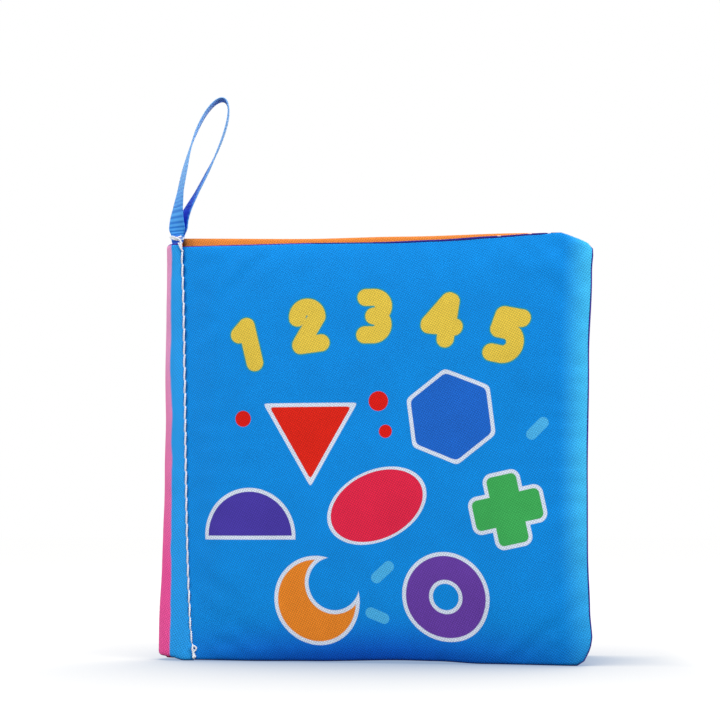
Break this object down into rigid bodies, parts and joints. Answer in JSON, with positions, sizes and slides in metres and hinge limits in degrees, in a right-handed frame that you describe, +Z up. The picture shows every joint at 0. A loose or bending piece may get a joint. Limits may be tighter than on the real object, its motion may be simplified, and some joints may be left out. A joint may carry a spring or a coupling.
{
  "type": "crinkle cloth book",
  "caption": "Small square cloth book of padded crinkle leaves sewn at the spine, with a ribbon loop, standing on its lower edges.",
  "frame": {"origin": "middle of the standing book's footprint, on the surface it stands on", "axes": "+X from the spine to the fore-edge, -Y towards the viewer of the front cover, +Z up"},
  "size_m": [0.1184, 0.0402, 0.1559],
  "materials": {
    "blue_twill": "printed polyester twill, slight sheen",
    "pink_twill": "printed polyester twill, slight sheen",
    "purple_twill": "printed polyester twill, slight sheen",
    "orange_twill": "printed polyester twill, slight sheen",
    "yellow_twill": "printed polyester twill, slight sheen",
    "green_twill": "printed polyester twill, slight sheen",
    "red_twill": "printed polyester twill, slight sheen",
    "sky_twill": "printed polyester twill, slight sheen",
    "crinkle_film": "thin clear crackling film",
    "wadding": "thin matte polyester wadding",
    "sewing_thread": "twisted white polyester thread",
    "grosgrain_ribbon": "ribbed grosgrain ribbon"
  },
  "bodies": {
    "spine_and_second_leaf": {"second_leaf_front_panel": "orange_twill", "second_leaf_back_panel": "yellow_twill", "second_leaf_crinkle_film": "crinkle_film", "second_leaf_wadding": "wadding", "cover_spine_outer_strip": "pink_twill", "cover_spine_inner_strip": "purple_twill", "page_spine_outer_strip": "orange_twill", "page_spine_inner_strip": "yellow_twill", "spine_stitching_outside": "sewing_thread", "spine_stitching_inside": "sewing_thread", "strap_tail": "grosgrain_ribbon"},
    "front_cover": {"front_cover_outer_panel": "blue_twill", "front_cover_inner_panel": "purple_twill", "front_cover_crinkle_film": "crinkle_film", "front_cover_wadding": "wadding"},
    "third_leaf": {"third_leaf_front_panel": "green_twill", "third_leaf_back_panel": "red_twill", "third_leaf_crinkle_film": "crinkle_film", "third_leaf_wadding": "wadding"},
    "back_cover": {"back_cover_inner_panel": "sky_twill", "back_cover_outer_panel": "pink_twill", "back_cover_crinkle_film": "crinkle_film", "back_cover_wadding": "wadding"},
    "strap_neck": {"strap_neck": "grosgrain_ribbon"},
    "strap_loop": {"strap_loop": "grosgrain_ribbon"}
  },
  "joints": [
    {"name": "front_cover_hinge", "type": "hinge", "parent": "spine_and_second_leaf", "child": "front_cover", "pos_m": [-0.0518, -0.00529, 0], "axis": [0, 0, 1], "range_deg": [-167, 5], "deforming": ["cover_spine_outer_strip", "cover_spine_inner_strip"]},
    {"name": "centre_hinge", "type": "hinge", "parent": "spine_and_second_leaf", "child": "third_leaf", "pos_m": [-0.0558, 0.00091, 0], "axis": [0, 0, 1], "range_deg": [-3, 172], "deforming": ["page_spine_outer_strip", "page_spine_inner_strip"]},
    {"name": "back_cover_hinge", "type": "hinge", "parent": "third_leaf", "child": "back_cover", "pos_m": [-0.05093, 0.00737, 0], "axis": [0, 0, 1], "range_deg": [-2, 171]},
    {"name": "strap_flop", "type": "hinge", "parent": "spine_and_second_leaf", "child": "strap_neck", "pos_m": [-0.0537, -0.00239, 0.1176], "axis": [1, 0, 0], "range_deg": [-60, 80]},
    {"name": "strap_sway", "type": "hinge", "parent": "strap_neck", "child": "strap_loop", "pos_m": [-0.0537, -0.00239, 0.1256], "axis": [-0.5736, 0.8192, 0], "range_deg": [-95, 45]}
  ]
}
